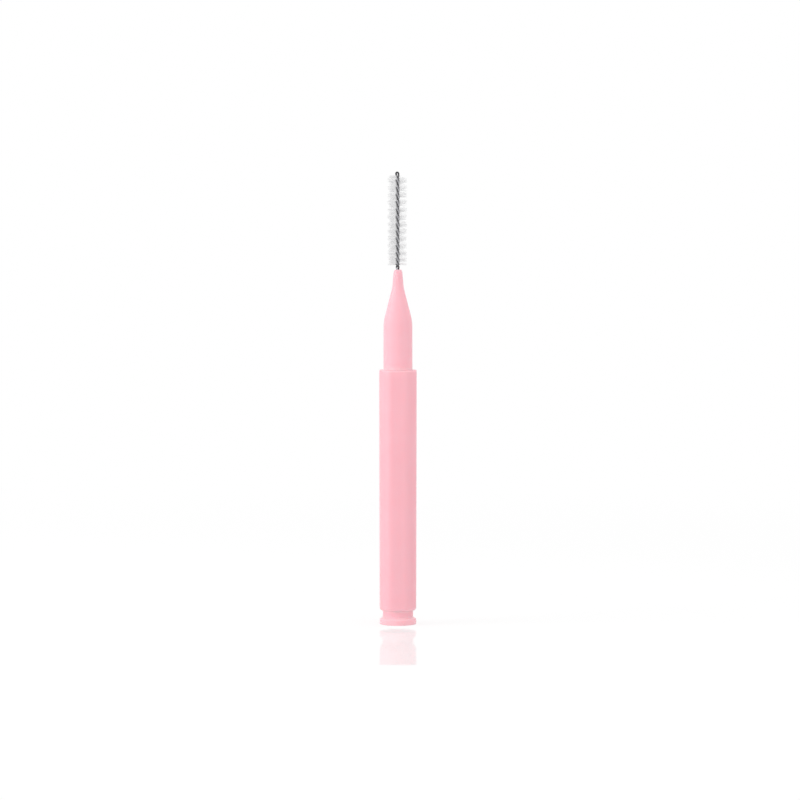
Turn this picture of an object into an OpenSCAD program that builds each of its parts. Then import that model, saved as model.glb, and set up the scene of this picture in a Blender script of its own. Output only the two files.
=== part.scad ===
// Interdental brush with a sliding sleeve, standing on its end flange.
// A moulded core carries a twisted wire brush, and an eight-sided sleeve
// slides up the core until it covers the brush. Millimetres, +Z up, with
// the origin at the centre of the flat end face.

/* [Handle core] */
// Height of the straight edge of the end flange
flange_h = 0.95; // [0.8:0.05:2.5]
// Height of the flange's sloping top, up to the neck
flange_slope_h = 0.35; // [0.15:0.05:0.8]
// How far the flange stands out from the neck
flange_lip = 0.55; // [0.3:0.05:1]
// Radius of the flange's lower edge
flange_edge_r = 0.2; // [0.05:0.05:0.4]
// Height of the bare neck between the flange and the sleeve
neck_h = 1.25; // [0.6:0.05:3]
// How far the neck stands out from the foot of the stem
neck_step = 0.07; // [0.03:0.01:0.12]
// Diameter of the stem at its foot
stem_foot_dia = 5.2; // [4.2:0.02:7]
// How much the stem's radius shrinks from its foot to the nose
stem_draft = 0.07; // [0.02:0.01:0.2]
// Height of the neck and stem together, from the flange to the nose
stem_h = 52.1; // [48:0.1:65]
// Height of the nose's wide cone
cone_h = 6; // [4:0.1:10]
// Diameter of the waist between the wide cone and the slender tip
waist_dia = 2; // [1.8:0.05:3]
// Height of the slender tip that grips the wire
tip_h = 3.1; // [2:0.1:5]
// Wall around the wire at the end of the tip
tip_wall = 0.37; // [0.25:0.01:0.5]
// Radius that softens the shoulder where the nose begins
shoulder_r = 8; // [2:0.5:12]
// Radius that blends the waist
waist_r = 5; // [1:0.5:8]
// Radius of the tip's outer edge
tip_edge_r = 0.3; // [0.05:0.05:0.35]

/* [Stops] */
// How far each stop ring stands out from the stem
stop_step = 0.15; // [0.13:0.01:0.25]
// Height of each stop ring's full ridge
stop_h = 0.6; // [0.3:0.05:1]
// Height of the ramp behind each stop ring
stop_ramp_h = 0.2; // [0.1:0.05:0.5]
// Height of the rib inside the sleeve that meets the stop rings
rib_h = 0.8; // [0.4:0.05:1.5]
// Height of the land inside the sleeve's rim that guides it on the stem
rim_land_h = 1.2; // [0.6:0.1:2]
// Height of the slope from the bore up to the land
land_slope_h = 0.3; // [0.1:0.05:0.6]

/* [Sliding sleeve] */
// Length of the sleeve
sleeve_len = 42.3; // [36:0.1:46]
// Wall behind the flats at the sleeve's foot
sleeve_wall = 0.42; // [0.35:0.01:1]
// How much wider the sleeve is across its flats at the top
sleeve_flare = 0.15; // [0:0.01:0.4]
// Width of the four main flats at the sleeve's foot, between sharp edges
main_flat_w = 3.1; // [2.4:0.05:3.8]
// Radius that softens the eight long edges
edge_r = 1.4; // [0.2:0.05:1.8]
// Width of the chamfer around the sleeve's foot
foot_chamfer = 0.28; // [0.05:0.01:0.3]
// Height of the chamfer around the sleeve's foot
foot_chamfer_h = 0.36; // [0.1:0.02:0.8]
// Radius of the sleeve's outer rim at the top
rim_r = 0.2; // [0.05:0.01:0.25]
// Chamfer inside the rim
rim_inner_chamfer = 0.06; // [0.04:0.01:0.12]
// Depth of the mouth below the rib, which takes the lower stop ring
mouth_depth = 1.1; // [0.9:0.05:2]
// How far the raised sleeve reaches past the end of the brush
cover_margin = 0.8; // [0.2:0.1:2]

/* [Twisted wire] */
// Thickness of the steel wire
wire_dia = 0.31; // [0.2:0.01:0.4]
// Gap between the two legs, which grips the filaments
leg_gap = 0.08; // [0.06:0.01:0.15]
// Length of one full turn of the twist
twist_pitch = 2.55; // [2:0.05:4]
// Depth of the wire inside the nose
socket_depth = 8; // [4:0.5:14]
// Bare wire between the nose and the first filaments
bare_wire_h = 0.8; // [0.3:0.1:3]
// How far the legs spread to open the eye at the tip
eye_spread = 0.045; // [0:0.005:0.1]
// Length over which the twist opens into the eye
eye_open_h = 1; // [0.6:0.1:2]
// Wire beyond the last filaments, to the top of the eye
eye_h = 0.7; // [0.6:0.05:2]
// Direction that the eye faces, about the brush's axis
eye_turn = 9; // [0:1:90]

/* [Bristles] */
// Length of the bristled part
brush_len = 15.7; // [8:0.1:20]
// Diameter of the brush over its bristles
brush_dia = 3.44; // [2:0.02:4.2]
// How much shorter the shortest bristles are
bristle_unevenness = 0.12; // [0:0.01:0.3]
// How far the bristles fan out to each side of the twist
bristle_fan = 26; // [0:1:40]
// Thickness of a bristle at its end
bristle_end = 0.05; // [0.03:0.005:0.07]
// Half width of the slice of filament roots between the legs
slice_half_w = 0.24; // [0.22:0.01:0.3]
// Number of bristles, counting both ends of each filament
bristle_count = 400; // [300:2:500]

/* [Fits] */
// Clearance on each side between the sleeve's rib and the stem
rib_clearance = 0.04; // [0.02:0.01:0.06]
// Clearance on each side between the land at the rim and the stem
land_clearance = 0.04; // [0.02:0.01:0.1]
// Clearance on each side between the stop rings and the sleeve's bore
ring_clearance = 0.05; // [0.03:0.01:0.1]
// Clearance on each side around the wire in its socket
socket_clearance = 0.02; // [0.01:0.01:0.05]
// Clearance on each side between the filaments' roots and the legs
slice_clearance = 0.01; // [0.005:0.005:0.02]

/* [Hidden] */

core_pink = "#fbbfc9";
sleeve_pink = "#fab8c3";
steel_grey = "#6f6f74";
nylon_white = "#ececea";

round_fn = 96;
arc_steps = 6;
edge_steps = 6;
rim_steps = 3;
sides = 8;
wire_sides = 8;
rings_per_turn = 12;
eye_steps = 8;
length_steps = 5;
fan_steps = 7;

// What reaches past a face that it cuts
overrun = 0.5;

// Radii of the core, from the stem outwards
stem_foot_r = stem_foot_dia / 2;
stem_top_r = stem_foot_r - stem_draft;
neck_r = stem_foot_r + neck_step;
flange_r = neck_r + flange_lip;
ring_r = stem_foot_r + stop_step;

// Radii inside the sleeve, and its widths across the flats
rib_r = stem_foot_r + rib_clearance;
bore_r = ring_r + ring_clearance;
foot_half_w = bore_r + sleeve_wall;
top_half_w = foot_half_w + sleeve_flare / 2;

// The two legs of wire run at this radius, half a turn apart
leg_r = (wire_dia + leg_gap) / 2;
eye_r = leg_r + eye_spread;
twist_r = leg_r + wire_dia / 2;
socket_r = twist_r + socket_clearance;
tip_r = socket_r + tip_wall;

// Heights of the core and the sleeve
neck_z = flange_h + flange_slope_h;
sleeve_z = neck_z + neck_h;
lower_stop_z = sleeve_z + mouth_depth;
sleeve_top_z = sleeve_z + sleeve_len;
shoulder_z = neck_z + stem_h;
waist_z = shoulder_z + cone_h;
nose_z = waist_z + tip_h;

// Heights of the brush, and the travel that covers it
brush_z = nose_z + bare_wire_h;
brush_top_z = brush_z + brush_len;
wire_top_z = brush_top_z + eye_h;
wire_foot_z = nose_z - socket_depth;
arch_z = wire_top_z - eye_r - wire_dia / 2;
travel = wire_top_z + cover_margin - sleeve_top_z;
upper_stop_z = lower_stop_z + rib_h + travel;

function unit(v) = v / norm(v);
function turned(a) = a > 180 ? a - 360 : a < -180 ? a + 360 : a;

// One corner of an outline, as an arc where it has a radius
function corner(before, at, after, r) =
    let (u = unit(before - at))
    let (v = unit(after - at))
    let (half = acos(u * v) / 2)
    let (reach = min(r / tan(half), norm(before - at) / 2, norm(after - at) / 2))
    let (arc_r = reach * tan(half))
    let (centre = at + unit(u + v) * arc_r / sin(half))
    let (from = at + u * reach - centre)
    let (to = at + v * reach - centre)
    let (start = atan2(from.y, from.x))
    let (sweep = turned(atan2(to.y, to.x) - start))
    [for (i = [0:arc_steps])
        let (a = start + sweep * i / arc_steps)
        centre + arc_r * [cos(a), sin(a)]];

// An outline from a list of corners [x, y, radius]
function outline(corners) =
    let (n = len(corners))
    [for (i = [0:n - 1])
        let (at = [corners[i].x, corners[i].y])
        let (before = corners[(i + n - 1) % n])
        let (after = corners[(i + 1) % n])
        each corners[i].z == 0 ? [at]
            : corner([before.x, before.y], at, [after.x, after.y], corners[i].z)];

// Radius of the tapered stem at a height
function stem_r(z) =
    let (share = (z - lower_stop_z) / (shoulder_z - lower_stop_z))
    stem_foot_r - stem_draft * share;

// The land at the rim is snug on the stem, unless the upper stop ring
// stands so high that it has to pass
land_z = sleeve_top_z - rim_land_h;
ring_stays_below = upper_stop_z + stop_h + stop_ramp_h < land_z - land_slope_h;
land_r = ring_stays_below ? stem_r(land_z) + land_clearance : bore_r;

// Faces of a body through closed rings of points that all have n points
function skin_faces(ring_count, n) =
    [for (k = [0:ring_count - 2]) for (j = [0:n - 1])
        each quad_faces(k * n + j, k * n + (j + 1) % n,
            (k + 1) * n + (j + 1) % n, (k + 1) * n + j)];

// The two triangles of a four-sided patch, named anticlockwise from outside
function quad_faces(a, b, c, d) = [[a, c, b], [a, d, c]];

module skin(rings) {
    n = len(rings[0]);
    last = (len(rings) - 1) * n;
    polyhedron(
        [for (ring = rings) each ring],
        concat(
            skin_faces(len(rings), n),
            [[for (j = [0:n - 1]) j]],
            [[for (j = [n - 1:-1:0]) last + j]]
        )
    );
}

// The core's profile, from the end face up to the tip of the nose
core_corners = [
    [0, 0, 0],
    [flange_r, 0, flange_edge_r],
    [flange_r, flange_h, flange_edge_r / 2],
    [neck_r, neck_z, flange_edge_r / 2],
    [neck_r, lower_stop_z - stop_h - stop_ramp_h, 0],
    [ring_r, lower_stop_z - stop_h, 0],
    [ring_r, lower_stop_z, 0],
    [stem_foot_r, lower_stop_z, 0],
    [stem_r(upper_stop_z), upper_stop_z, 0],
    [ring_r, upper_stop_z, 0],
    [ring_r, upper_stop_z + stop_h, 0],
    [stem_r(upper_stop_z + stop_h + stop_ramp_h), upper_stop_z + stop_h + stop_ramp_h, 0],
    [stem_top_r, shoulder_z, shoulder_r],
    [waist_dia / 2, waist_z, waist_r],
    [tip_r, nose_z, tip_edge_r],
    [0, nose_z, 0]
];

module handle_core() {
    color(core_pink)
    difference() {
        rotate_extrude($fn = round_fn) polygon(outline(core_corners));
        translate([0, 0, wire_foot_z])
            cylinder(r = socket_r, h = socket_depth + overrun, $fn = round_fn);
    }
}

// The sleeve's outline at a height, half_w from the axis to a main flat. Four
// main flats take turns with four narrower ones, and a soft edge joins each
// to the next. Each edge is reached from the main flat beside it
function sleeve_ring(half_w, z) =
    let (grown = half_w / foot_half_w)
    let (soft_r = edge_r * grown)
    let (half_side = 180 / sides)
    [for (i = [0:sides - 1]) for (s = [0:edge_steps])
        let (middle = (2 * i + 1) * half_side)
        let (facing = 2 * half_side * (i + i % 2))
        let (along = (i % 2 == 0 ? 1 : -1) * grown * main_flat_w / 2)
        let (sharp = half_w * [cos(facing), sin(facing)] + along * [-sin(facing), cos(facing)])
        let (a = middle - half_side + 2 * half_side * s / edge_steps)
        let (p = sharp + soft_r * ([cos(a), sin(a)] - [cos(middle), sin(middle)] / cos(half_side)))
        [p.x, p.y, z]];

// Half the width across the flats, at a height above the sleeve's foot
function sleeve_half_w(h) = foot_half_w + (top_half_w - foot_half_w) * h / sleeve_len;

// The space inside the sleeve: mouth, rib, bore, land and the chamfer at the rim
bore_corners = [
    [0, -overrun, 0],
    [bore_r, -overrun, 0],
    [bore_r, mouth_depth, 0],
    [rib_r, mouth_depth, 0],
    [rib_r, mouth_depth + rib_h, 0],
    [bore_r, mouth_depth + rib_h, 0],
    [bore_r, sleeve_len - rim_land_h - land_slope_h, 0],
    [land_r, sleeve_len - rim_land_h, 0],
    [land_r, sleeve_len - rim_inner_chamfer, 0],
    [land_r + rim_inner_chamfer, sleeve_len, 0],
    [land_r + rim_inner_chamfer, sleeve_len + overrun, 0],
    [0, sleeve_len + overrun, 0]
];

module sliding_sleeve() {
    rim_z = sleeve_len - rim_r;
    rim_half_w = sleeve_half_w(rim_z) - rim_r;
    color(sleeve_pink)
    translate([0, 0, sleeve_z])
    difference() {
        skin(concat(
            [sleeve_ring(foot_half_w - foot_chamfer, 0)],
            [sleeve_ring(sleeve_half_w(foot_chamfer_h), foot_chamfer_h)],
            [for (i = [0:rim_steps])
                let (a = 90 * i / rim_steps)
                sleeve_ring(rim_half_w + rim_r * cos(a), rim_z + rim_r * sin(a))]
        ));
        rotate_extrude($fn = round_fn) polygon(outline(bore_corners));
    }
}

// Angle of the first leg at a height. Seen from above it turns backwards
// as it climbs, and eases to a stop where the twist opens into the eye
function twist_angle(z) =
    let (below = arch_z - max(z, wire_foot_z + wire_dia))
    let (turning = below < eye_open_h ? below * below / (2 * eye_open_h)
        : below - eye_open_h / 2)
    eye_turn + 360 * turning / twist_pitch;

// Radius of the legs at a height, wider where the eye opens
function twist_radius(z) =
    let (share = max(0, 1 - (arch_z - z) / eye_open_h))
    leg_r + eye_spread * share * share * (3 - 2 * share);

// One ring of the wire's skin: at is its centre, ahead the wire's direction
// and out a direction that points away from the twist's axis
function wire_ring(at, ahead, out) =
    let (side = unit(cross(ahead, out)))
    let (up = cross(side, ahead))
    [for (j = [0:wire_sides - 1])
        let (a = 360 * j / wire_sides)
        at + wire_dia / 2 * (cos(a) * up + sin(a) * side)];

leg_rings = ceil((arch_z - wire_foot_z) / twist_pitch * rings_per_turn);
leg_heights = [for (i = [0:leg_rings])
    wire_foot_z + (arch_z - wire_foot_z) * i / leg_rings];

// The wire's course: up the first leg, round the eye and down the second.
// Each entry holds a point and the direction out from the axis there
function leg_course(z, half_turn) =
    let (a = twist_angle(z) + half_turn)
    let (out = [cos(a), sin(a), 0])
    [twist_radius(z) * out + [0, 0, z], out];

function eye_course(tilt) =
    let (out = [cos(tilt) * cos(eye_turn), cos(tilt) * sin(eye_turn), sin(tilt)])
    [eye_r * out + [0, 0, arch_z], out];

wire_course = concat(
    [for (i = [0:leg_rings]) leg_course(leg_heights[i], 0)],
    [for (i = [1:eye_steps - 1]) eye_course(180 * i / eye_steps)],
    [for (i = [leg_rings:-1:0]) leg_course(leg_heights[i], 180)]
);

module twisted_wire() {
    last = len(wire_course) - 1;
    color(steel_grey)
    skin([for (i = [0:last])
        let (ahead = i == 0 ? [0, 0, 1] : i == last ? [0, 0, -1]
            : unit(wire_course[i + 1][0] - wire_course[i - 1][0]))
        wire_ring(wire_course[i][0], ahead, wire_course[i][1])]);
}

// The slice of filament roots: a thin ribbon that turns with the legs, and
// lies between them. Each step of it carries one bristle on each edge
steps = bristle_count / 2;
step_h = brush_len / steps;
slice_half_t = leg_gap / 2 - slice_clearance;

function slice_ring(k) =
    let (z = brush_z + k * step_h)
    let (a = twist_angle(z) + 90)
    let (u = [cos(a), sin(a), 0] * slice_half_w)
    let (n = [-sin(a), cos(a), 0] * slice_half_t)
    [for (p = [u - n, u + n, n - u, -u - n]) p + [0, 0, z]];

// The square end of the bristle on one edge of a step. Bristles take turns
// in fanning to one side or the other and in length, each inside its own step
function bristle_tip(k, half_turn) =
    let (z = brush_z + (k + 1 / 2) * step_h)
    let (turn = 3 * k + half_turn / 90)
    let (fan = bristle_fan * (2 * (turn % fan_steps) / (fan_steps - 1) - 1))
    let (a = twist_angle(z) + 90 + half_turn + fan)
    let (shorter = bristle_unevenness * (turn % length_steps) / length_steps)
    let (out = [cos(a), sin(a), 0] * (brush_dia / 2 - shorter))
    let (side = [-sin(a), cos(a), 0] * bristle_end / 2)
    let (up = [0, 0, bristle_end / 2])
    [for (p = [-side - up, side - up, side + up, up - side]) out + p + [0, 0, z]];

// Faces of one bristle, from four root points to four points at its end
function bristle_faces(root, tip) = concat(
    [for (j = [0:3]) each quad_faces(root[j], root[(j + 1) % 4], tip[(j + 1) % 4], tip[j])],
    quad_faces(tip[0], tip[1], tip[2], tip[3])
);

// Faces of one step: two broad faces of the slice and its two bristles
function step_faces(k) =
    let (r = 4 * k)
    let (t = 4 * (steps + 1) + 8 * k)
    concat(
        quad_faces(r + 1, r + 2, r + 6, r + 5),
        quad_faces(r + 3, r, r + 4, r + 7),
        bristle_faces([r, r + 1, r + 5, r + 4], [t, t + 1, t + 2, t + 3]),
        bristle_faces([r + 2, r + 3, r + 7, r + 6], [t + 4, t + 5, t + 6, t + 7])
    );

module bristles() {
    top = 4 * steps;
    color(nylon_white)
    polyhedron(
        concat(
            [for (k = [0:steps]) each slice_ring(k)],
            [for (k = [0:steps - 1]) for (half_turn = [0, 180]) each bristle_tip(k, half_turn)]
        ),
        concat(
            [for (k = [0:steps - 1]) each step_faces(k)],
            quad_faces(3, 2, 1, 0),
            quad_faces(top, top + 1, top + 2, top + 3)
        )
    );
}

handle_core();
sliding_sleeve();
twisted_wire();
bristles();
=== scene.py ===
# %% [markdown]
# # An interdental brush with a sliding sleeve
# The real object is four things put together. A moulded core stands on its end flange and ends in a slender
# nose. A twisted steel wire grows out of the nose and grips a spiral of nylon filaments. An eight-sided
# sleeve is the grip, and it slides up the core until it covers the brush.
# The CAD model already fixes every size and the way the sleeve moves. This file only dresses it, so the
# first step is to load that model. Nothing here moves it. All lengths are metres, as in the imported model.

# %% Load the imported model
import math

import bpy
import numpy as np
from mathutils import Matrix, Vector


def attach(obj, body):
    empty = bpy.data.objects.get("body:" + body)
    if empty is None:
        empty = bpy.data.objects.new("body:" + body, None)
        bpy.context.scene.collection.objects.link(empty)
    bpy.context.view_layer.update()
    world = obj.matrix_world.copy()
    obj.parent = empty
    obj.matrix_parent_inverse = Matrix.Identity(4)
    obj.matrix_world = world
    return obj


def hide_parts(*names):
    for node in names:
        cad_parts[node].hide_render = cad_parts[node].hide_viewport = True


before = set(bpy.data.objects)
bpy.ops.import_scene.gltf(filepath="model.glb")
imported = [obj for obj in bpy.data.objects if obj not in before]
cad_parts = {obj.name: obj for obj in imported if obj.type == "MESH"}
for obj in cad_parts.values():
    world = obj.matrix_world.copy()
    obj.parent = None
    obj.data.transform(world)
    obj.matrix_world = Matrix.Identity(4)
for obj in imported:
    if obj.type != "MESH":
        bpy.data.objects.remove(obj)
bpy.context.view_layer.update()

MM = 0.001

# %% [markdown]
# ## The camera
# The photograph looks square at the sleeve's front flat, from a little above, through a long lens: the sides
# of the sleeve stay parallel, and the flange's lower edge bows down only slightly. The camera could be
# fitted by eye, but it is safer to work it out. The brush's axis runs down a known column of the photograph,
# the middle row crosses it at a known height, and one pixel there is 0.176 mm of brush. These three numbers
# say which point the middle of the picture looks at, and the lens follows from the distance.

# %% Place the camera
PHOTO_SIDE = 800
AXIS_COLUMN = 397.95
MIDDLE_HEIGHT = 39.575 * MM
PIXEL = 0.17585 * MM
CAMERA_DISTANCE = 0.75
CAMERA_TILT = math.radians(3.5)
SENSOR_MM = 36


def aim(thing, place, target):
    """Puts a camera or lamp at a place and points it at a target."""
    thing.location = place
    thing.rotation_euler = (target - place).to_track_quat("-Z", "Y").to_euler()


picture_middle = Vector((
    (PHOTO_SIDE / 2 - AXIS_COLUMN) * PIXEL,
    0,
    MIDDLE_HEIGHT,
))
towards_camera = Vector((0, -math.cos(CAMERA_TILT), math.sin(CAMERA_TILT)))
lens = bpy.data.cameras.new("photo_camera")
lens.sensor_width = SENSOR_MM
lens.lens = SENSOR_MM * CAMERA_DISTANCE / (PHOTO_SIDE * PIXEL)
lens.clip_start = 0.01
lens.clip_end = 20
camera = bpy.data.objects.new("photo_camera", lens)
bpy.context.scene.collection.objects.link(camera)
aim(camera, picture_middle + CAMERA_DISTANCE * towards_camera, picture_middle)
bpy.context.scene.camera = camera
bpy.context.scene.view_settings.view_transform = "Standard"
print("lens in mm:", round(lens.lens, 1))

# %% [markdown]
# ## Shader sums in Python
# A procedural finish is mostly arithmetic on masks and noises. Wiring Math nodes by hand hides that
# arithmetic, so a small class wraps one output socket and lets Python's operators add the nodes. With it a
# line such as `0.4 + 0.1 * noise` is a piece of node tree. Colours never go through it, because a Math node
# turns them grey. They go through a Mix node. Every other node comes from one method, which takes the
# node's type, its settings and what its sockets hold or are linked to.

# %% A socket that takes part in sums
class Socket:
    """One output of a node. Sums on it add Math nodes."""

    def __init__(self, finish, output):
        self.finish = finish
        self.output = output

    def maths(self, operation, *values):
        return self.finish.node("ShaderNodeMath", {"operation": operation}, dict(enumerate(values)))

    def __add__(self, other):
        return self.maths("ADD", self, other)

    def __sub__(self, other):
        return self.maths("SUBTRACT", self, other)

    def __rsub__(self, other):
        return self.maths("SUBTRACT", other, self)

    def __mul__(self, other):
        return self.maths("MULTIPLY", self, other)

    __radd__ = __add__
    __rmul__ = __mul__

    def ramp(self, start, end):
        """0 up to start, 1 from end, and a smooth rise between them."""
        return self.finish.node(
            "ShaderNodeMapRange",
            {"interpolation_type": "SMOOTHSTEP"},
            {"Value": self, "From Min": start, "From Max": end},
        )


print("signs that a socket takes: + - *")


# %% A finish, which is one node tree
class Finish:
    """The nodes of one material, or of the world."""

    def __init__(self, tree):
        self.tree = tree
        tree.nodes.clear()

    def node(self, kind, settings=None, values=None, out=0):
        """Adds a node, sets its settings first, then fills or links its sockets."""
        made = self.tree.nodes.new(kind)
        for name, setting in (settings or {}).items():
            setattr(made, name, setting)
        for key, value in (values or {}).items():
            if isinstance(value, Socket):
                self.tree.links.new(value.output, made.inputs[key])
            else:
                made.inputs[key].default_value = value
        return Socket(self, made.outputs[out]) if made.outputs else None

    def mix(self, share, first, second):
        """The first colour where share is 0, the second where it is 1."""
        return self.node(
            "ShaderNodeMix",
            {"data_type": "RGBA"},
            {"Factor": share, 6: first, 7: second},
            out=2,
        )

    def noise(self, place, size, detail=2.0, squeeze=(1, 1, 1)):
        """Noise from 0 to 1. Its features have a size in the place's unit, and more along a squeezed axis."""
        where = self.node(
            "ShaderNodeVectorMath", {"operation": "MULTIPLY"}, {0: place, 1: squeeze}
        )
        return self.node(
            "ShaderNodeTexNoise", None, {"Vector": where, "Scale": 1 / size, "Detail": detail}
        )


def new_finish(name):
    """A material and the finish that fills it."""
    material = bpy.data.materials.new(name)
    material.use_nodes = True
    return material, Finish(material.node_tree)


def paint(red, green, blue):
    """A colour as a paint program shows it, from 0 to 255, in the numbers that light adds up in."""
    shares = [c / 255 for c in (red, green, blue)]
    return (*[s / 12.92 if s <= 0.04045 else ((s + 0.055) / 1.055) ** 2.4 for s in shares], 1)


print("mid grey in light's own numbers:", round(paint(128, 128, 128)[0], 3))

# %% [markdown]
# ## White surroundings
# The object stands in plain white. White could be had by turning the lamps up until the floor clips, but
# that would bleach the pink plastic too. So the world is plain white only for the rays that see it: the
# camera's, and those that gloss and glass send out. For soft light on the object it has a lower strength.

# %% The world
SOFT_LIGHT = 0.885


def seen(finish):
    """1 for the rays that see the surroundings, 0 for the rays that gather soft light."""
    parts = [
        finish.node("ShaderNodeLightPath", out=kind)
        for kind in ("Is Camera Ray", "Is Glossy Ray", "Is Transmission Ray")
    ]
    either = parts[0].maths("MAXIMUM", parts[0], parts[1])
    return either.maths("MAXIMUM", either, parts[2])


world = bpy.data.worlds.new("white_room")
bpy.context.scene.world = world
world.use_nodes = True
room = Finish(world.node_tree)
light = room.node(
    "ShaderNodeBackground",
    None,
    {"Color": (1, 1, 1, 1), "Strength": SOFT_LIGHT + (1 - SOFT_LIGHT) * seen(room)},
)
room.node("ShaderNodeOutputWorld", None, {"Surface": light})
print("strength of the soft light:", SOFT_LIGHT)

# %% [markdown]
# ## Lamps
# The sleeve's left flats carry a pale gloss and its right side is a little deeper, so the main light is a
# tall softbox at the left. A second, weaker one hangs high at the right front. It keeps the right side from
# going dull, and it lights the faces that look up: the rim and the slope of the flange. Area lamps are used
# because their size makes the shadows and the highlights soft.

# %% Two softboxes
LOOK = Vector((0, 0, 40 * MM))


def softbox(name, azimuth, height, distance, size, power):
    """A rectangular lamp round the object. Azimuth 0 is at the camera, and it grows to the right."""
    lamp = bpy.data.lights.new(name, "AREA")
    lamp.shape = "RECTANGLE"
    lamp.size, lamp.size_y = size
    lamp.energy = power
    thing = bpy.data.objects.new(name, lamp)
    bpy.context.scene.collection.objects.link(thing)
    a, h = math.radians(azimuth), math.radians(height)
    away = Vector((math.sin(a) * math.cos(h), -math.cos(a) * math.cos(h), math.sin(h)))
    aim(thing, LOOK + distance * away, LOOK)


softbox("left_softbox", azimuth=-72, height=24, distance=0.7, size=(0.35, 0.6), power=1.66)
softbox("high_softbox", azimuth=40, height=65, distance=0.3, size=(0.25, 0.25), power=0.11)

# %% [markdown]
# ## Meshes from rings
# All four pieces are long and round, so all their meshes can come from one helper: it takes rings of points,
# each with the same number of points, and joins each ring to the next with four-sided faces. A ring runs
# anticlockwise seen from where the rings are heading, which makes the faces look outwards. Modifiers
# such as Screw and Bevel could do some of this, but rings give each point a place that is known, so that
# wear and drawing marks can be stored on the points as attributes.

# %% Skins through rings
def ring_faces(ring_count, n, joined=False):
    """Four-sided faces between rings of n points. The last ring joins the first if asked."""
    faces = []
    for k in range(ring_count if joined else ring_count - 1):
        low, high = k * n, (k + 1) % ring_count * n
        for j in range(n):
            after = (j + 1) % n
            faces.append((low + j, low + after, high + after, high + j))
    return faces


def capped_faces(ring_count, n):
    """The same faces, and one more across each of the two end rings."""
    last = (ring_count - 1) * n
    ends = [tuple(range(n - 1, -1, -1)), tuple(range(last, last + n))]
    return ring_faces(ring_count, n) + ends


def new_piece(name, points, faces, material, marks=None, sharp=40):
    """A smooth mesh object with one material, and marks stored on its points."""
    mesh = bpy.data.meshes.new(name)
    mesh.from_pydata([tuple(p) for p in points], [], faces)
    mesh.validate()
    for mark, values in (marks or {}).items():
        values = np.asarray(values, np.float32)
        vector = values.ndim == 2
        kind = "FLOAT_VECTOR" if vector else "FLOAT"
        mesh.attributes.new(mark, kind, "POINT").data.foreach_set(
            "vector" if vector else "value", values.ravel()
        )
    mesh.shade_smooth()
    mesh.set_sharp_from_angle(angle=math.radians(sharp))
    mesh.materials.append(material)
    piece = bpy.data.objects.new(name, mesh)
    bpy.context.scene.collection.objects.link(piece)
    print(name, "has", len(mesh.polygons), "faces")
    return piece


print("faces of a closed tube with 3 rings of 8 points:", len(capped_faces(3, 8)))


# %% Profiles with rounded corners
WORN_BELOW_R = 1


def rounded(corners, steps=8):
    """An outline from corners (r, z, radius). Gives its points, and 1 where a point is on a worn edge."""
    points, edges = [], []
    for i, (r, z, radius) in enumerate(corners):
        at = np.array([r, z], float)
        if not radius:
            points.append(at)
            edges.append(0)
            continue
        before = np.array(corners[i - 1][:2]) - at
        after = np.array(corners[(i + 1) % len(corners)][:2]) - at
        longest = min(np.linalg.norm(before), np.linalg.norm(after)) / 2
        before, after = before / np.linalg.norm(before), after / np.linalg.norm(after)
        half = math.acos(np.clip(before @ after, -1, 1)) / 2
        reach = min(radius / math.tan(half), longest)
        arc = reach * math.tan(half)
        middle = before + after
        centre = at + middle / np.linalg.norm(middle) * arc / math.sin(half)
        start, end = at + before * reach - centre, at + after * reach - centre
        sweep = math.remainder(
            math.atan2(end[1], end[0]) - math.atan2(start[1], start[0]), 2 * math.pi
        )
        outward = sweep > 0
        for s in range(steps + 1):
            a = sweep * s / steps
            turn = np.array([[math.cos(a), -math.sin(a)], [math.sin(a), math.cos(a)]])
            points.append(centre + turn @ start)
            edges.append(float(outward and arc < WORN_BELOW_R))
    return points, edges


def stepped(points, edges, longest):
    """The same outline with points added, so that no step of it is longer than asked."""
    more, more_edges = [points[0]], [edges[0]]
    for i in range(1, len(points)):
        parts = max(1, math.ceil(np.linalg.norm(points[i] - points[i - 1]) / longest))
        for s in range(1, parts + 1):
            more.append(points[i - 1] + (points[i] - points[i - 1]) * s / parts)
            more_edges.append(edges[i] if s == parts else 0)
    return more, more_edges


test_points = rounded([(0, 0, 0), (1, 0, 0.2), (1, 1, 0)])[0]
print("a rounded corner has", len(test_points) - 2, "points")

# %% [markdown]
# ## Moulded pink plastic
# The core and the sleeve are moulded from the same kind of pink polypropylene, a slightly waxy plastic with a
# satin surface. Close up it is never one flat colour: the pigment is cloudy on a scale of millimetres, faint
# flow lines run along the mould, the mould's own fine grain breaks up the gloss, and handling polishes the
# outer edges and leaves small scuffs. All of this is worked out from the place on the object, so it needs
# no picture and moves with the piece. A little light passes under the surface, which softens thin edges.
# Inner corners get painted light: the photograph shows no dark line at the rim, under the sleeve or at the
# floor, where a path tracer gathers little light. So the colour is painted paler near these corners' heights.

# %% The plastic's finish
CLOUD_SIZE = 4.5 * MM
FLOW_SIZE = 0.7 * MM
GRAIN_SIZE = 0.11 * MM
SCUFF_SIZE = 0.35 * MM
SPECK_SIZE = 0.16 * MM
FLOW_SQUEEZE = (1, 1, 0.04)
SCUFF_SQUEEZE = (1, 1, 0.35)
LIGHT_DEPTH = 0.7 * MM


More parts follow.
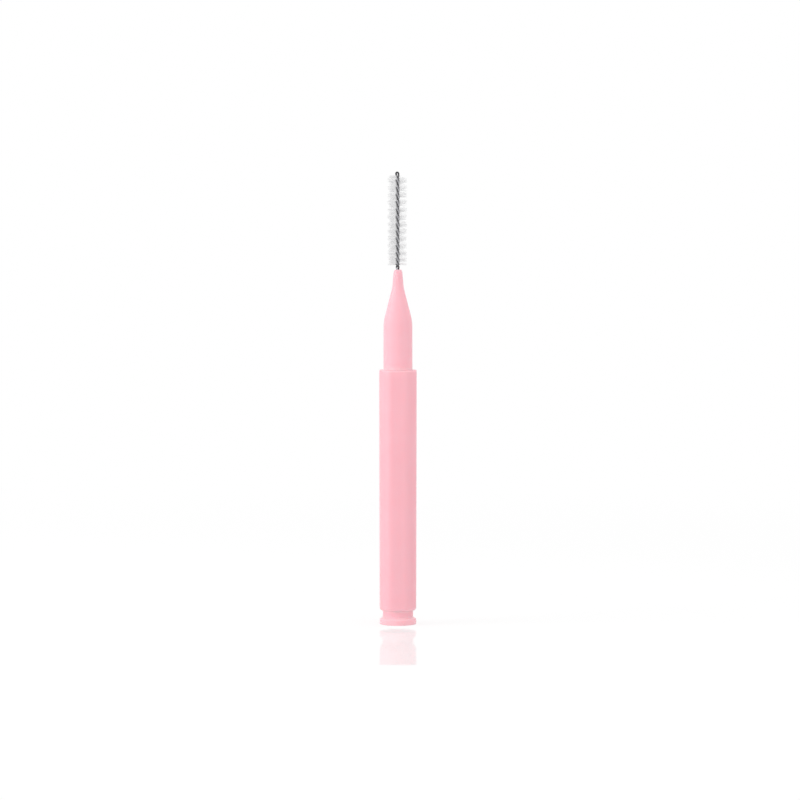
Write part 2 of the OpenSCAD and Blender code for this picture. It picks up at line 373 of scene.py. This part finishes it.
def pink_plastic(name, pink, deep_pink, grain_height, corners):
    """Satin moulded plastic. Each corner is an inner corner's height and reach in mm, and its painted light.
    """
    material, finish = new_finish(name)
    place = finish.node("ShaderNodeTexCoord", out="Object")
    edge = finish.node("ShaderNodeAttribute", {"attribute_name": "worn_edge"}, out="Fac")
    cloud = finish.noise(place, CLOUD_SIZE, 3)
    flow = finish.noise(place, FLOW_SIZE, 3, FLOW_SQUEEZE)
    grain = finish.noise(place, GRAIN_SIZE, 2)
    scuff = finish.noise(place, SCUFF_SIZE, 4, SCUFF_SQUEEZE).ramp(0.6, 0.72)
    speck = finish.noise(place, SPECK_SIZE, 0).ramp(0.7, 0.8)
    tint = cloud.ramp(0.3, 0.7) * 0.55 + flow.ramp(0.35, 0.65) * 0.3 + speck * 0.35
    colour = finish.mix(tint, pink, deep_pink)
    pale = tuple(0.9 * p + 0.1 for p in pink[:3]) + (1,)
    colour = finish.mix(edge * 0.12 + scuff * 0.1, colour, pale)
    height = finish.node("ShaderNodeSeparateXYZ", None, {"Vector": place}, out=2)
    # Painted light: the colour is painted paler near the heights of inner corners, where shade would fall.
    painted_corner_light = 0
    for at, reach, painted_light_share in corners:
        away = height - at * MM
        painted_corner_light = painted_corner_light + painted_light_share * (1 - away.maths("ABSOLUTE", away).ramp(0, reach * MM))
    colour = finish.mix(painted_corner_light, colour, PAINTED_LIGHT_PINK)
    roughness = 0.4 + 0.1 * cloud + 0.08 * scuff + 0.06 * grain - 0.12 * edge
    relief = grain + 0.6 * flow + 0.25 * scuff
    bump = finish.node(
        "ShaderNodeBump", None, {"Strength": 0.8, "Distance": grain_height, "Height": relief}
    )
    shader = finish.node(
        "ShaderNodeBsdfPrincipled",
        None,
        {
            "Base Color": colour,
            "Roughness": roughness,
            "Normal": bump,
            "IOR": 1.49,
            "Subsurface Weight": 0.4,
            "Subsurface Radius": (1, 0.5, 0.55),
            "Subsurface Scale": LIGHT_DEPTH,
        },
    )
    finish.node("ShaderNodeOutputMaterial", None, {"Surface": shader})
    return material


CORE_PINK = paint(251, 188, 198)
CORE_DEEP = paint(250, 183, 193)
SLEEVE_PINK = paint(251, 184, 194)
SLEEVE_DEEP = paint(250, 179, 189)
# Painted light: a pale pink painted near inner corners, each given by height, reach in mm and share.
PAINTED_LIGHT_PINK = (1, 0.75, 0.78, 1)
CORE_GRAIN_H = 0.004 * MM
SLEEVE_GRAIN_H = 0.005 * MM
FLOOR_PAINTED_LIGHT = (0.4, 0.6, 0.15)
FLANGE_PAINTED_LIGHT = (1.15, 0.5, 0.4)
UNDER_SLEEVE_PAINTED_LIGHT = (2.5, 0.5, 0.56)
RIM_PAINTED_LIGHT = (44.9, 1.1, 0.38)
RIM_LINE_PAINTED_LIGHT = (45, 0.35, 0.22)
SLEEVE_FOOT_PAINTED_LIGHT = (2.6, 0.35, 0.3)
SLEEVE_RIM_PAINTED_LIGHT = (44.85, 0.5, 0.15)
core_plastic = pink_plastic(
    "core_plastic",
    CORE_PINK,
    CORE_DEEP,
    CORE_GRAIN_H,
    [FLOOR_PAINTED_LIGHT, FLANGE_PAINTED_LIGHT, UNDER_SLEEVE_PAINTED_LIGHT, RIM_PAINTED_LIGHT, RIM_LINE_PAINTED_LIGHT],
)
sleeve_plastic = pink_plastic(
    "sleeve_plastic",
    SLEEVE_PINK,
    SLEEVE_DEEP,
    SLEEVE_GRAIN_H,
    [SLEEVE_FOOT_PAINTED_LIGHT, SLEEVE_RIM_PAINTED_LIGHT],
)
print("plastic finishes:", core_plastic.name, sleeve_plastic.name)

# %% [markdown]
# ## The core moulding
# On the real brush one moulding is the foot, the stem and the nose. It is turned round one axis all the way
# up, so it can be lathed: one outline, swept round. The outline starts in the small dimple under the foot,
# where the plastic entered the mould and was cut off, so that the brush doesn't stand on the cut. It
# climbs over the flange and its sloping top, the neck, and the two stop rings that the sleeve hides. Then
# it follows the nose with its long concave waist, and ends inside the socket that holds the wire.

# %% Sizes of the core in millimetres
CORE_SIDES = 144
FINE_R = 0.03
SMALL_R = 0.04
CUT_R = 0.3
CUT_FOOT_R = 0.36
CUT_Z = 0.05
CUT_EDGE_R = 0.02
DIMPLE_R = 0.85
DIMPLE_SLOPE = 0.1
DIMPLE_DEPTH = 0.12
FLANGE_R = 3.22
FLANGE_H = 0.95
FLANGE_FOOT_EDGE_R = 0.2
FLANGE_EDGE_R = 0.1
NECK_R = 2.67
NECK_Z = 1.3
STOP_R = 2.75
STOP_LEAD_H = 0.2
STOP_H = 0.6
LOWER_STOP_Z = 3.65
UPPER_STOP_Z = 40.1
STEM_FOOT_R = 2.6
STEM_TOP_R = 2.53
SHOULDER_Z = 53.4
SHOULDER_CURVE_R = 8
WAIST_R = 1
WAIST_Z = 59.4
WAIST_CURVE_R = 5
TIP_R = 0.77
TIP_Z = 62.1
TIP_CURVE_R = 1.5
TIP_END_R = 0.6
TIP_EDGE_R = 0.15
NOSE_Z = 62.5
SOCKET_R = 0.37
WIRE_FOOT_Z = 54.5
print("from one stop ring to the other in mm:", round(UPPER_STOP_Z - LOWER_STOP_Z, 2))


# %% The core's outline
def stem_r(z):
    """Radius of the drafted stem at a height, to a micrometre."""
    share = (z - LOWER_STOP_Z) / (SHOULDER_Z - LOWER_STOP_Z)
    return round(STEM_FOOT_R + (STEM_TOP_R - STEM_FOOT_R) * share, 3)


lower_lead_z = LOWER_STOP_Z - STOP_H
upper_lead_z = UPPER_STOP_Z + STOP_H
CORE_OUTLINE = [
    (CUT_R, CUT_Z, CUT_EDGE_R),
    (CUT_FOOT_R, DIMPLE_DEPTH, 0),
    (DIMPLE_R, DIMPLE_DEPTH, SMALL_R),
    (DIMPLE_R + DIMPLE_SLOPE, 0, SMALL_R),
    (FLANGE_R, 0, FLANGE_FOOT_EDGE_R),
    (FLANGE_R, FLANGE_H, FLANGE_EDGE_R),
    (NECK_R, NECK_Z, FLANGE_EDGE_R),
    (NECK_R, lower_lead_z - STOP_LEAD_H, FINE_R),
    (STOP_R, lower_lead_z, FINE_R),
    (STOP_R, LOWER_STOP_Z, SMALL_R),
    (stem_r(LOWER_STOP_Z), LOWER_STOP_Z, FINE_R),
    (stem_r(UPPER_STOP_Z), UPPER_STOP_Z, FINE_R),
    (STOP_R, UPPER_STOP_Z, SMALL_R),
    (STOP_R, upper_lead_z, FINE_R),
    (stem_r(upper_lead_z + STOP_LEAD_H), upper_lead_z + STOP_LEAD_H, FINE_R),
    (STEM_TOP_R, SHOULDER_Z, SHOULDER_CURVE_R),
    (WAIST_R, WAIST_Z, WAIST_CURVE_R),
    (TIP_R, TIP_Z, TIP_CURVE_R),
    (TIP_END_R, NOSE_Z, TIP_EDGE_R),
    (SOCKET_R, NOSE_Z, FINE_R),
    (SOCKET_R, WIRE_FOOT_Z, 0),
]


def lathe(outline, edges, sides):
    """Points and wear marks of an outline in millimetres, swept round the axis."""
    angles = 2 * math.pi * np.arange(sides) / sides
    points = [
        (r * MM * math.cos(a), r * MM * math.sin(a), z * MM) for r, z in outline for a in angles
    ]
    return points, np.repeat(edges, sides)


print("corners in the core's outline:", len(CORE_OUTLINE))

# %% Lathe the core
OUTSIDE_STEP = 1.2
core_outline, core_edges = stepped(*rounded(CORE_OUTLINE), OUTSIDE_STEP)
core_points, core_wear = lathe(core_outline, core_edges, CORE_SIDES)
core_faces = capped_faces(len(core_outline), CORE_SIDES)
core = new_piece("core_moulding", core_points, core_faces, core_plastic, {"worn_edge": core_wear})
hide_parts("handle_core")
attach(core, "core")

# %% [markdown]
# ## The sleeve moulding
# The sleeve is a drafted tube: outside four main flats and four narrower ones with soft edges between them,
# inside a round bore. It widens by 0.15 mm from its foot to its rim, which lets the mould pull straight off
# and leaves no parting line. Its outline can't be lathed, but it is still rings. Outside, each ring is the
# eight-sided outline at its own width. Inside, each ring is a circle whose points face those of the outside,
# so that the flat foot and the rim close between them without a twist. The rings go up the outside, over the
# rim, and down past the land that is snug on the stem, the bore and the rib.

# %% One ring of the outside
EDGE_R = 1.4
EDGE_STEPS = 12
FLAT_STEPS = 4
FOOT_HALF_W = 3.22
TOP_HALF_W = 3.295
MAIN_FLAT_W = 3.1
SLEEVE_Z = 2.55
SLEEVE_LEN = 42.3
BORE_R = 2.8
RIB_R = 2.64
LAND_R = 2.584


def facing(angle):
    """A direction square to the axis, as x and y."""
    return np.array([math.cos(angle), math.sin(angle)])


def octagon(half_w):
    """Points of the eight-sided outline with soft edges, and 1 on those edges."""
    grown = half_w / FOOT_HALF_W
    soft = EDGE_R * grown
    eighth = math.pi / 8
    arcs = []
    for i in range(8):
        middle = (2 * i + 1) * eighth
        main = 2 * eighth * (i + i % 2)
        side = (1 if i % 2 == 0 else -1) * grown * MAIN_FLAT_W / 2
        sharp = half_w * facing(main) + side * facing(main + math.pi / 2)
        centre = sharp - soft / math.cos(eighth) * facing(middle)
        turns = middle + eighth * np.linspace(-1, 1, EDGE_STEPS + 1)
        arcs.append([centre + soft * facing(a) for a in turns])
    points, edges = [], []
    for i, arc in enumerate(arcs):
        points += arc
        edges += [math.sin(math.pi * s / EDGE_STEPS) ** 2 for s in range(EDGE_STEPS + 1)]
        after = arcs[(i + 1) % 8][0]
        points += [arc[-1] + (after - arc[-1]) * s / FLAT_STEPS for s in range(1, FLAT_STEPS)]
        edges += [0] * (FLAT_STEPS - 1)
    return np.array(points), np.array(edges)


def half_width(height):
    """Half the width across the flats, at a height above the sleeve's foot."""
    return FOOT_HALF_W + (TOP_HALF_W - FOOT_HALF_W) * height / SLEEVE_LEN


ring_points = octagon(FOOT_HALF_W)[0]
print("points in a ring of the sleeve:", len(ring_points))

# %% Rings up the outside and down the bore
FOOT_CHAMFER = 0.28
FOOT_CHAMFER_H = 0.36
FOOT_CHAMFER_R = 0.12
RIM_R = 0.2
MOUTH_CHAMFER = 0.06
LAND_H = 1.2
LAND_SLOPE_H = 0.3
LAND_EDGE_R = 0.05
RIB_FOOT = 1.1
RIB_TOP = 1.9
INSIDE_STEP = 2
INSIDE_WEAR = 0.5
outside = [
    (FOOT_HALF_W - FOOT_CHAMFER - SMALL_R, 0, 0),
    (FOOT_HALF_W - FOOT_CHAMFER, 0, SMALL_R),
    (half_width(FOOT_CHAMFER_H), FOOT_CHAMFER_H, FOOT_CHAMFER_R),
    (half_width(SLEEVE_LEN), SLEEVE_LEN, RIM_R),
    (half_width(SLEEVE_LEN) - RIM_R - LAND_EDGE_R, SLEEVE_LEN, 0),
]
inside = [
    (LAND_R + MOUTH_CHAMFER + SMALL_R, SLEEVE_LEN, 0),
    (LAND_R + MOUTH_CHAMFER, SLEEVE_LEN, FINE_R),
    (LAND_R, SLEEVE_LEN - MOUTH_CHAMFER, FINE_R),
    (LAND_R, SLEEVE_LEN - LAND_H, LAND_EDGE_R),
    (BORE_R, SLEEVE_LEN - LAND_H - LAND_SLOPE_H, LAND_EDGE_R),
    (BORE_R, RIB_TOP, SMALL_R),
    (RIB_R, RIB_TOP, SMALL_R),
    (RIB_R, RIB_FOOT, SMALL_R),
    (BORE_R, RIB_FOOT, SMALL_R),
    (BORE_R, 0, SMALL_R),
    (BORE_R + MOUTH_CHAMFER, 0, 0),
]
outside_rings, outside_edges = stepped(*rounded(outside), OUTSIDE_STEP)
inside_rings, inside_edges = stepped(*rounded(inside), INSIDE_STEP)
ring_total = len(outside_rings) + len(inside_rings)
print("rings of the sleeve:", ring_total)


# %% Make the sleeve
def unit(vectors):
    """The same directions, each 1 long."""
    return vectors / np.linalg.norm(vectors, axis=1)[:, None]


sleeve_points, sleeve_wear = [], []
for (half_w, height), edge in zip(outside_rings, outside_edges):
    points, edges = octagon(half_w)
    sleeve_points += [(x * MM, y * MM, (SLEEVE_Z + height) * MM) for x, y in points]
    sleeve_wear += list(np.maximum(edges, edge))
for (r, height), edge in zip(inside_rings, inside_edges):
    circle = unit(ring_points) * r
    sleeve_points += [(x * MM, y * MM, (SLEEVE_Z + height) * MM) for x, y in circle]
    sleeve_wear += [INSIDE_WEAR * edge] * len(circle)
sleeve = new_piece(
    "sleeve_moulding",
    sleeve_points,
    ring_faces(ring_total, len(ring_points), joined=True),
    sleeve_plastic,
    {"worn_edge": sleeve_wear},
)
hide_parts("sliding_sleeve")
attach(sleeve, "sleeve")

# %% [markdown]
# ## The twisted wire
# One stainless wire, 0.31 mm thick, is folded in half around the filaments and both legs are twisted
# together left-handed, one turn in 2.55 mm. At the fold the twist opens into a small eye, and just above
# the nose it is a little tighter. The wire also stands a hair to the left of the axis, most at the eye. A
# Screw modifier could twist two circles, but it can't ease the twist to a stop at the eye. So the wire's
# middle line is worked out height by height, up the first leg, round the eye and down the second, and a
# round section is swept along it.

# %% The course of the twist
WIRE_R = 0.155
LEG_R = 0.195
EYE_R = 0.215
TWIST_PITCH = 2.55
EYE_TURN = math.radians(-6.5)
EYE_OPEN = 1.0
ARCH_Z = 79.33
TIGHT_FROM_Z = 66.3
TIGHT_TO_Z = 62.3
TIGHTENING = 0.14
NOSE_LEAN = 0.055
NOSE_LEAN_FROM_Z = 61
NOSE_LEAN_H = 2
EYE_LEAN = 0.07
EYE_LEAN_FROM_Z = 78.3


def twist_angle(z):
    """Angle of the first leg at a height in millimetres, easing at the eye, tighter near the nose."""
    below = ARCH_Z - np.maximum(z, WIRE_FOOT_Z + 2 * WIRE_R)
    turning = np.where(below < EYE_OPEN, below**2 / (2 * EYE_OPEN), below - EYE_OPEN / 2)
    tighter = TIGHTENING * np.maximum(0, TIGHT_FROM_Z - np.maximum(z, TIGHT_TO_Z)) ** 2
    return EYE_TURN + 2 * math.pi * turning / TWIST_PITCH + tighter


def lean(z):
    """How far the wire stands off the axis along x at a height in millimetres."""
    above_nose = np.clip((z - NOSE_LEAN_FROM_Z) / NOSE_LEAN_H, 0, 1)
    return -NOSE_LEAN * above_nose - EYE_LEAN * np.clip(z - EYE_LEAN_FROM_Z, 0, 1) ** 2


def twist_radius(z):
    """How far each leg's middle is from the axis, wider where the eye opens."""
    share = np.maximum(0, 1 - (ARCH_Z - z) / EYE_OPEN)
    return LEG_R + (EYE_R - LEG_R) * share**2 * (3 - 2 * share)


def leg(z, half_turn):
    """The middle line of one leg and the directions that point away from the axis."""
    a = twist_angle(z) + half_turn
    out = np.stack([np.cos(a), np.sin(a), 0 * a], 1)
    return twist_radius(z)[:, None] * out + np.stack([lean(z), 0 * z, z], 1), out


turns = (twist_angle(WIRE_FOOT_Z + 1) - EYE_TURN) / (2 * math.pi)
print("turns in the twist:", round(float(turns), 1))

# %% Sweep the wire
LEG_RINGS = 400
EYE_RINGS = 20
WIRE_SIDES = 16


def swept(line, first, second, radius, sides):
    """Rings of points round a line, in two directions across it. The radius may change along it."""
    angles = 2 * math.pi * np.arange(sides) / sides
    radii = np.broadcast_to(radius, len(line))[:, None, None]
    return line[:, None] + radii * (
        np.cos(angles)[None, :, None] * first[:, None]
        + np.sin(angles)[None, :, None] * second[:, None]
    )


heights = np.linspace(WIRE_FOOT_Z, ARCH_Z, LEG_RINGS)
up_line, up_out = leg(heights, 0)
down_line, down_out = leg(heights[::-1], math.pi)
tilt = (np.pi * np.arange(1, EYE_RINGS) / EYE_RINGS)[:, None]
flat_out = np.array([math.cos(EYE_TURN), math.sin(EYE_TURN), 0])
eye_out = np.cos(tilt) * flat_out + np.sin(tilt) * np.array([0, 0, 1])
eye_line = EYE_R * eye_out + np.array([float(lean(ARCH_Z)), 0, ARCH_Z])
line = np.concatenate([up_line, eye_line, down_line])
out = np.concatenate([up_out, eye_out, down_out])
ahead = unit(np.gradient(line, axis=0))
side = unit(np.cross(ahead, out))
over = np.cross(side, ahead)
wire_points = swept(line, over, side, WIRE_R, WIRE_SIDES)
run = np.concatenate([[0], np.cumsum(np.linalg.norm(np.diff(line, axis=0), axis=1))])
print("length of the wire in mm:", round(float(run[-1]), 1))

# %% [markdown]
# ## Drawn steel
# Wire is drawn through a die, which leaves fine lines along it. On a twisted wire the lines have to turn with
# the legs, so a noise on the object's own place won't do. Instead each point stores where it is on the
# wire in millimetres: round its section, and how far along. Noise read from that place, stretched along the
# wire, gives the lines. The steel itself is a light grey and fairly smooth, and it gets darker in the
# lines, where a film of drawing soap stays. A second mark says how far a point looks outwards, away from
# the twist's axis. It carries painted shade and reflection: the grooves between the legs are painted darkest,
# and the outermost line is painted a little darker than the bright flanks beside it. Between the nose and
# the first filaments the wire is painted nearly black all round as painted shade, and the fold at its tip
# is painted darker too.

# %% The steel's finish
LINE_SIZE = 0.035
PATCH_SIZE = 0.5
LINE_SQUEEZE = (1, 1, 0.02)
LINE_DEPTH = 0.002 * MM
# Painted shade colours: for the outermost ridge, the grooves between the legs, and near the nose and fold.
RIDGE_PAINTED_SHADE = paint(100, 100, 103)
GROOVE_PAINTED_SHADE = paint(78, 78, 81)
PAINTED_SHADE_STEEL = paint(40, 40, 42)
NOSE_SHADE_Z = 63.12 * MM
NOSE_SHADE_HALF_H = 0.1 * MM
NOSE_SHADE_END = 0.45 * MM
NOSE_SHADE_SHARE = 0.75
FOLD_DARKENS_Z = 78.7 * MM
FOLD_DARKEST_Z = 79.3 * MM
FOLD_SHARE = 0.85


def drawn_steel(name, bright, dull):
    """Steel wire with fine lines along it. Its marks are called drawn and outward."""
    material, finish = new_finish(name)
    place = finish.node("ShaderNodeAttribute", {"attribute_name": "drawn"}, out="Vector")
    lines = finish.noise(place, LINE_SIZE, 3, LINE_SQUEEZE)
    patches = finish.noise(place, PATCH_SIZE, 2)
    outward = finish.node("ShaderNodeAttribute", {"attribute_name": "outward"}, out="Fac")
    colour = finish.mix(lines.ramp(0.35, 0.65) * 0.7 + patches * 0.3, bright, dull)
    # Painted reflection and shade: the outermost ridge is painted a little darker, the grooves darkest.
    colour = finish.mix(outward.ramp(0.7, 0.98) * 0.5, colour, RIDGE_PAINTED_SHADE)
    colour = finish.mix(outward.ramp(-0.5, 0.5), GROOVE_PAINTED_SHADE, colour)
    spot = finish.node("ShaderNodeTexCoord", out="Object")
    height = finish.node("ShaderNodeSeparateXYZ", None, {"Vector": spot}, out=2)
    # Painted shade: near the nose the wire is painted nearly black all round, and the fold is painted darker.
    away = height - NOSE_SHADE_Z
    painted_shade = NOSE_SHADE_SHARE * (1 - away.maths("ABSOLUTE", away).ramp(NOSE_SHADE_HALF_H, NOSE_SHADE_END))
    painted_shade = painted_shade + FOLD_SHARE * height.ramp(FOLD_DARKENS_Z, FOLD_DARKEST_Z)
    colour = finish.mix(painted_shade, colour, PAINTED_SHADE_STEEL)
    bump = finish.node(
        "ShaderNodeBump",
        None,
        {"Strength": 0.5, "Distance": LINE_DEPTH, "Height": lines},
    )
    shader = finish.node(
        "ShaderNodeBsdfPrincipled",
        None,
        {
            "Base Color": colour,
            "Metallic": 1.0,
            "Roughness": 0.26 + 0.14 * lines + 0.06 * patches,
            "Normal": bump,
        },
    )
    finish.node("ShaderNodeOutputMaterial", None, {"Surface": shader})
    return material


BRIGHT_STEEL = paint(204, 204, 208)
DULL_STEEL = paint(168, 168, 172)
wire_steel = drawn_steel("wire_steel", BRIGHT_STEEL, DULL_STEEL)
print("steel finish:", wire_steel.name)

# %% Make the wire
ring_count = len(line)
round_angles = 2 * math.pi * np.arange(WIRE_SIDES) / WIRE_SIDES
on_wire = np.stack(
    [
        np.tile(WIRE_R * np.cos(round_angles), ring_count),
        np.tile(WIRE_R * np.sin(round_angles), ring_count),
        np.repeat(run, WIRE_SIDES),
    ],
    1,
)
wire = new_piece(
    "wire_twist",
    wire_points.reshape(-1, 3) * MM,
    capped_faces(ring_count, WIRE_SIDES),
    wire_steel,
    {"drawn": on_wire, "outward": np.tile(np.cos(round_angles), ring_count)},
)
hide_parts("twisted_wire")
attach(wire, "core")

# %% [markdown]
# ## The filaments
# The real brush is some hundreds of nylon filaments, each about 0.05 mm thick, laid between the two legs
# before they are twisted. So the filaments leave the wire square to the line between the legs, and their
# direction turns with the twist. Seen from the side that makes petals, one each half turn. Blender's hair
# would draw this well, but it doesn't become faces for the exported model. So each end of a filament is a
# thin five-sided tube of its own: rooted between the legs, fanned a little to either side, slightly bent, and
# narrowed at its tip. In the photograph no filament hides the wire: those that would stand in front of it are
# combed to the left, where they fill the gaps between the petals. So the same is done here, and the
# filaments are trimmed a little longer on the left than on the right. The random numbers have a fixed seed,
# so every run makes the same brush.
#
# Nylon lets light through, so a bundle of it looks evenly pale, hardly darker inside than outside. Real
# refraction through hundreds of thin tubes would take very many light paths and stays speckled. So the
# filaments get a plain pale grey, milky and clear ones mixed, and later they are left out of the rays that
# carry soft light and shadow, as if they let all of it through. The shade deep between the legs is painted
# instead: the roots are painted dark.

# %% Nylon
MILKINESS_SIZE = 0.25 * MM


def nylon(name, clear, milky, root):
    """Pale nylon filament. The mark called tip is 0 at the root and 1 at the end."""
    material, finish = new_finish(name)
    tip = finish.node("ShaderNodeAttribute", {"attribute_name": "tip"}, out="Fac")
    shade = finish.node("ShaderNodeAttribute", {"attribute_name": "shade"}, out="Fac")
    place = finish.node("ShaderNodeTexCoord", out="Object")
    cloud = finish.noise(place, MILKINESS_SIZE, 2)
    colour = finish.mix(shade * 0.6 + cloud * 0.25 + tip.ramp(0.8, 1) * 0.15, clear, milky)
    # Painted shade: the roots are painted dark, for the shade deep between the legs.
    colour = finish.mix(tip.ramp(0.1, 0.26), root, colour)
    shader = finish.node(
        "ShaderNodeBsdfPrincipled",
        None,
        {
            "Base Color": colour,
            "Roughness": 0.34 + 0.12 * cloud + 0.1 * tip.ramp(0.9, 1),
            "IOR": 1.53,
        },
    )
    finish.node("ShaderNodeOutputMaterial", None, {"Surface": shader})
    return material


CLEAR = paint(220, 220, 221)
MILKY = paint(231, 231, 231)
ROOT_SHADE = paint(122, 122, 124)
bristle_nylon = nylon("bristle_nylon", CLEAR, MILKY, ROOT_SHADE)
print("nylon finish:", bristle_nylon.name)

# %% Sizes of the brush in millimetres, and its angles in degrees
SEED = 31
BRUSH_Z = 63.3
BRUSH_LEN = 15.7
BRUSH_R = 1.72
TRIM_RIGHT = 0.03
TRIM_LONGER_LEFT = 0.17
UNEVEN = 0.06
ROOT_R = 0.05
FILAMENT_ENDS = 1500
FILAMENT_R = 0.024
LOW_END_Z = 66.5
LOW_FADE_H = 2
FAN_RIGHT = 41
FAN_RIGHT_LESS_LOW = 16
FAN_LEFT = 44
FAN_LEFT_MORE_LOW = 20
FAN_USUAL = 0.6
FAN_MOST = 1.2
PARTING = 38
COMBED_TO = 42
COMBED_SPREAD = 22
LIFT = 0.13
LIFT_MORE_LEFT = 0.03
SWERVE_RADIANS = 0.08
STRAND_SIDES = 5
THICKNESS_ALONG = np.array([1, 1, 1, 0.98, 0.95, 0.45])
STRAND_RINGS = len(THICKNESS_ALONG)
print("thickness of a filament in mm:", 2 * FILAMENT_R)

# %% The course of one filament
chance = np.random.default_rng(SEED)
along = np.linspace(0, 1, STRAND_RINGS)
lowest = BRUSH_Z + FILAMENT_R
highest = BRUSH_Z + BRUSH_LEN - FILAMENT_R


def filament_course(i):
    """Middle line in millimetres and shade of one filament end. Ends leave to the two sides in turn."""
    z = BRUSH_Z + BRUSH_LEN * (i + chance.random()) / FILAMENT_ENDS
    direction = float(twist_angle(z)) + math.pi / 2 + math.pi * (i % 2)
    left = 0.5 - 0.5 * math.cos(direction)
    low = 1 - min(1, max(0, (z - LOW_END_Z) / LOW_FADE_H))
    spread = (1 - left) * (FAN_RIGHT - FAN_RIGHT_LESS_LOW * low)
    spread += left * (FAN_LEFT + FAN_LEFT_MORE_LOW * low)
    fan = math.radians(spread) * np.clip(chance.normal(0, FAN_USUAL), -FAN_MOST, FAN_MOST)
    from_front = math.remainder(direction + fan + math.pi / 2, 2 * math.pi)
    if abs(from_front) < math.radians(PARTING):
        fan -= from_front + math.radians(COMBED_TO + COMBED_SPREAD * chance.random())
    reach = BRUSH_R - TRIM_RIGHT + TRIM_LONGER_LEFT * left - abs(chance.normal(0, UNEVEN))
    lift = chance.normal(0, LIFT + LIFT_MORE_LEFT * left)
    swerve = chance.normal(0, SWERVE_RADIANS)
    shade = chance.random()
    r = ROOT_R + (reach - ROOT_R) * along
    a = direction + fan * np.minimum(1, along * 4) + swerve * along**2
    z_line = np.clip(z + lift * along**2, lowest, highest)
    return np.stack([r * np.cos(a) + lean(z_line), r * np.sin(a), z_line], 1), shade


print("filament ends:", FILAMENT_ENDS)

# %% Grow the filaments
one_strand = capped_faces(STRAND_RINGS, STRAND_SIDES)
strand_points, strand_faces, strand_tip, strand_shade = [], [], [], []
for i in range(FILAMENT_ENDS):
    middle, shade = filament_course(i)
    forward = unit(np.gradient(middle, axis=0))
    across = unit(np.cross(forward, [0, 0, 1]))
    downward = np.cross(forward, across)
    rings = swept(middle, across, downward, FILAMENT_R * THICKNESS_ALONG, STRAND_SIDES)
    first = len(strand_points)
    strand_points += list(rings.reshape(-1, 3) * MM)
    strand_faces += [tuple(first + v for v in face) for face in one_strand]
    strand_tip += list(np.repeat(along, STRAND_SIDES))
    strand_shade += [shade] * (STRAND_RINGS * STRAND_SIDES)

filaments = new_piece(
    "nylon_filaments",
    strand_points,
    strand_faces,
    bristle_nylon,
    {"tip": strand_tip, "shade": strand_shade},
    sharp=80,
)
filaments.visible_diffuse = False
filaments.visible_shadow = False
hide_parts("bristles")
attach(filaments, "core")

# %% [markdown]
# ## The floor
# The brush stands on a white board with a clear glossy top, which mirrors its foot faintly and only near by.
# The mirror image starts a little below the foot, because the layer that mirrors lies under the clear one. So
# the floor is two sheets. The upper one is white, lets a share of the light through to the mirror below, and
# is fully open from below and under the foot. It fades into the white surroundings further out, so that no
# horizon shows, and is part diffuse, so that it keeps the object's soft shadow. For rays that gather soft
# light the mirror is plain white, like the surroundings that it mirrors, or the end face would turn black.

# %% The white board
FLOOR_HALF = 2.0
FLOOR_DROP = 0.01 * MM
MIRROR_DROP = 0.62 * MM
MIRROR_SHARE = 0.33
MIRROR_END = 60.4 * MM
MIRROR_FADE = 3 * MM
MIRROR_ROUGHNESS = 0.08
UNDER_FOOT_R = 3.1 * MM
UNDER_FOOT_FADE = 0.01 * MM
SHADOW_SHARE = 0.35
SHADOW_FADES_FROM = 0.1
SHADOW_ENDS = 0.3
BOARD_WHITE = (0.96, 0.96, 0.96, 1)
WHITE = (1, 1, 1, 1)


def level_square(name, drop, material):
    """A level square below the end face, which is no part of the object."""
    corners = [(-1, -1), (1, -1), (1, 1), (-1, 1)]
    points = [(x * FLOOR_HALF, y * FLOOR_HALF, -drop) for x, y in corners]
    piece = new_piece(name, points, [(0, 1, 2, 3)], material)


board_material, board = new_finish("white_board")
board_place = board.node("ShaderNodeTexCoord", out="Object")
reach = board.node("ShaderNodeVectorMath", {"operation": "LENGTH"}, {0: board_place}, out="Value")
from_below = board.node("ShaderNodeNewGeometry", out="Backfacing")
under_foot = 1 - reach.ramp(UNDER_FOOT_R - UNDER_FOOT_FADE, UNDER_FOOT_R)
open_share = MIRROR_SHARE * (1 - reach.ramp(MIRROR_END - MIRROR_FADE, MIRROR_END))
open_share = open_share.maths("MAXIMUM", open_share, from_below)
open_share = open_share.maths("MAXIMUM", open_share, under_foot)
pale = board.node("ShaderNodeBsdfDiffuse", None, {"Color": BOARD_WHITE})
white = board.node("ShaderNodeEmission", None, {"Color": WHITE, "Strength": 1})
shadow_share = SHADOW_SHARE * (1 - reach.ramp(SHADOW_FADES_FROM, SHADOW_ENDS))
looks_white = seen(board) * (1 - shadow_share)
base = board.node("ShaderNodeMixShader", None, {0: looks_white, 1: pale, 2: white})
clear = board.node("ShaderNodeBsdfTransparent", None, {"Color": WHITE})
surface = board.node("ShaderNodeMixShader", None, {0: open_share, 1: base, 2: clear})
board.node("ShaderNodeOutputMaterial", None, {"Surface": surface})
level_square("floor", FLOOR_DROP, board_material)

# %% The mirror layer
mirror_material, mirror = new_finish("mirror_below")
soft_ray = mirror.node("ShaderNodeLightPath", out="Is Diffuse Ray")
gloss = mirror.node(
    "ShaderNodeBsdfGlossy", None, {"Color": WHITE, "Roughness": MIRROR_ROUGHNESS}
)
mirrored_white = mirror.node("ShaderNodeEmission", None, {"Color": WHITE, "Strength": 1})
layer = mirror.node("ShaderNodeMixShader", None, {0: soft_ray, 1: gloss, 2: mirrored_white})
mirror.node("ShaderNodeOutputMaterial", None, {"Surface": layer})
level_square("mirror_under_floor", MIRROR_DROP, mirror_material)
